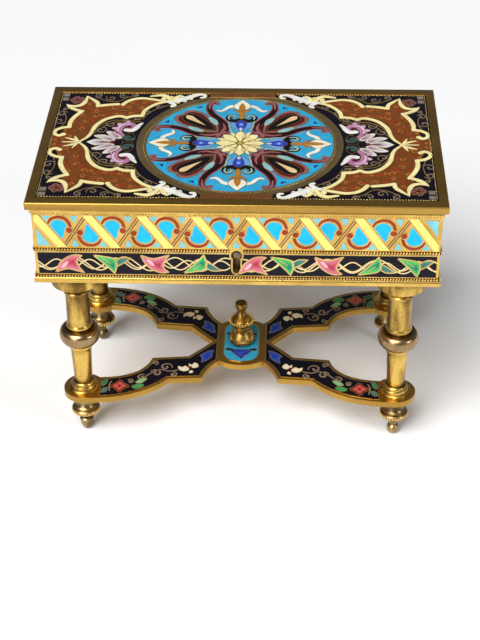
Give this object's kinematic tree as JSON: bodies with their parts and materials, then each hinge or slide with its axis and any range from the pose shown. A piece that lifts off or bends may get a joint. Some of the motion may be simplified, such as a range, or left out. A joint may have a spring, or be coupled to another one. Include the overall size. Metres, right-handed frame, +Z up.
{
  "type": "enamelled table casket",
  "caption": "Casket in the form of a small table: a hinged enamelled lid on a hollow box, turned legs, and a shaped flat stretcher with an urn finial.",
  "frame": {"origin": "on the ground, under the middle of the box", "axes": "+X to the right as seen from the front, +Y to the back, +Z up"},
  "size_m": [0.15, 0.089, 0.113],
  "materials": {
    "enamelled_gilt": "gilt brass inlaid with glossy enamel",
    "gilt": "polished, worn gilding",
    "copper_gilt": "browner, worn gilding",
    "steel": "dull"
  },
  "bodies": {
    "stand": {"casket_body": "enamelled_gilt", "lock": "steel", "hinge_left_body_leaf": "gilt", "hinge_left_pin": "steel", "hinge_right_body_leaf": "gilt", "hinge_right_pin": "steel", "stretcher": "enamelled_gilt", "finial": "gilt", "leg_column_front_left": "gilt", "leg_column_front_right": "gilt", "leg_column_back_left": "gilt", "leg_column_back_right": "gilt", "leg_knop_front_left": "copper_gilt", "leg_knop_front_right": "copper_gilt", "leg_knop_back_left": "copper_gilt", "leg_knop_back_right": "copper_gilt", "leg_shaft_front_left": "gilt", "leg_shaft_front_right": "gilt", "leg_shaft_back_left": "gilt", "leg_shaft_back_right": "gilt", "foot_front_left": "gilt", "foot_front_right": "gilt", "foot_back_left": "gilt", "foot_back_right": "gilt"},
    "lid": {"lid": "enamelled_gilt", "hinge_left_lid_leaf": "gilt", "hinge_right_lid_leaf": "gilt"}
  },
  "joints": [
    {"name": "lid_hinge", "type": "hinge", "parent": "stand", "child": "lid", "pos_m": [0, 0.0436, 0.1087], "axis": [-1, 0, 0], "range_deg": [0, 100]}
  ]
}
